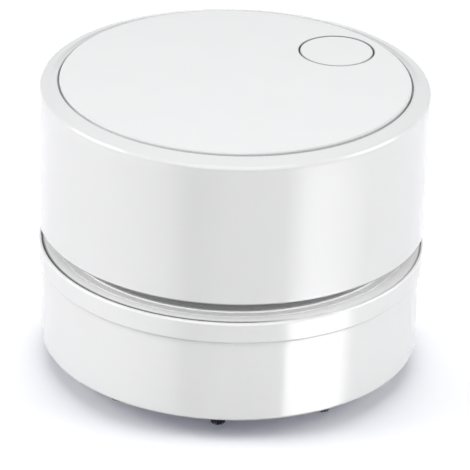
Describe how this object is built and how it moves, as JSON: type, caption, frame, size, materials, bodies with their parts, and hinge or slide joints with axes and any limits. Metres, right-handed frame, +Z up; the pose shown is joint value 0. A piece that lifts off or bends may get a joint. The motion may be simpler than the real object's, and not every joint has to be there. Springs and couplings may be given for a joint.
{
  "type": "desktop mini vacuum cleaner",
  "caption": "Round desktop crumb vacuum: a motor unit with a flush power button twists off a dust box that stands on a ring of brush tufts.",
  "frame": {"origin": "on the desk, at the centre of the round base", "axes": "+Z up along the round axis; -Y is the side the picture shows as the front; the charging socket faces +Y"},
  "size_m": [0.084, 0.084, 0.065],
  "materials": {
    "body_gloss_white": "glossy white moulded plastic",
    "panel_satin_white": "satin white moulded plastic",
    "grille_grey": "satin grey plastic",
    "inner_white": "matte white plastic",
    "bristle_black": "black nylon bristle",
    "frame_grey": "matte grey plastic",
    "filter_felt": "pale felt",
    "seal_rubber": "soft black rubber",
    "zinc_steel": "zinc plated steel",
    "core_steel": "laminated steel",
    "ferrite": "sintered ferrite",
    "bronze": "sintered bronze and brass",
    "copper": "enamelled copper",
    "lead_red": "red lead insulation",
    "lead_black": "black lead insulation",
    "cell_blue": "blue shrink sleeve",
    "board_green": "green solder mask",
    "component_black": "black moulded component"
  },
  "bodies": {
    "dust_box": {"dust_box": "body_gloss_white", "base_plate": "inner_white", "dust_guard": "inner_white", "brush_tuft_1": "bristle_black", "brush_tuft_2": "bristle_black", "brush_tuft_3": "bristle_black", "brush_tuft_4": "bristle_black", "brush_tuft_5": "bristle_black", "brush_tuft_6": "bristle_black", "brush_tuft_7": "bristle_black", "brush_tuft_8": "bristle_black", "brush_tuft_9": "bristle_black", "filter_frame": "frame_grey", "filter_pad": "filter_felt", "filter_seal": "seal_rubber"},
    "motor_unit": {"collar": "body_gloss_white", "fan_housing": "panel_satin_white", "exhaust_grille": "grille_grey", "housing_screws": "zinc_steel", "chassis": "inner_white", "shell_screws": "zinc_steel", "upper_shell": "body_gloss_white", "top_panel": "panel_satin_white", "motor_can": "zinc_steel", "motor_end_cap": "inner_white", "motor_magnets": "ferrite", "motor_bushes": "bronze", "motor_brushes": "bronze", "motor_terminals": "bronze", "motor_sleeve": "seal_rubber", "motor_leads": "lead_red", "battery_cell": "cell_blue", "battery_tabs": "zinc_steel", "battery_leads": "lead_black", "control_board": "board_green", "board_parts": "component_black", "board_screws": "zinc_steel", "charging_port": "zinc_steel", "port_tongue": "component_black", "switch_body": "component_black", "switch_spring": "zinc_steel"},
    "power_button": {"power_button": "panel_satin_white", "switch_plunger": "inner_white"},
    "rotor": {"impeller": "inner_white", "motor_shaft": "zinc_steel", "armature_core": "core_steel", "armature_windings": "copper", "commutator": "copper"}
  },
  "joints": [
    {"name": "twist_lock", "type": "hinge", "parent": "dust_box", "child": "motor_unit", "pos_m": [0, 0, 0.0251], "axis": [0, 0, 1], "range_deg": [0, 20]},
    {"name": "power_press", "type": "slide", "parent": "motor_unit", "child": "power_button", "axis": [0, 0, -1], "range_m": [0, 0.0015], "stiffness_N_per_m": 800, "springref_m": -0.0008, "deforming": ["switch_spring"]},
    {"name": "motor_spin", "type": "hinge", "parent": "motor_unit", "child": "rotor", "pos_m": [0, 0, 0.0358], "axis": [0, 0, 1], "continuous": true}
  ]
}
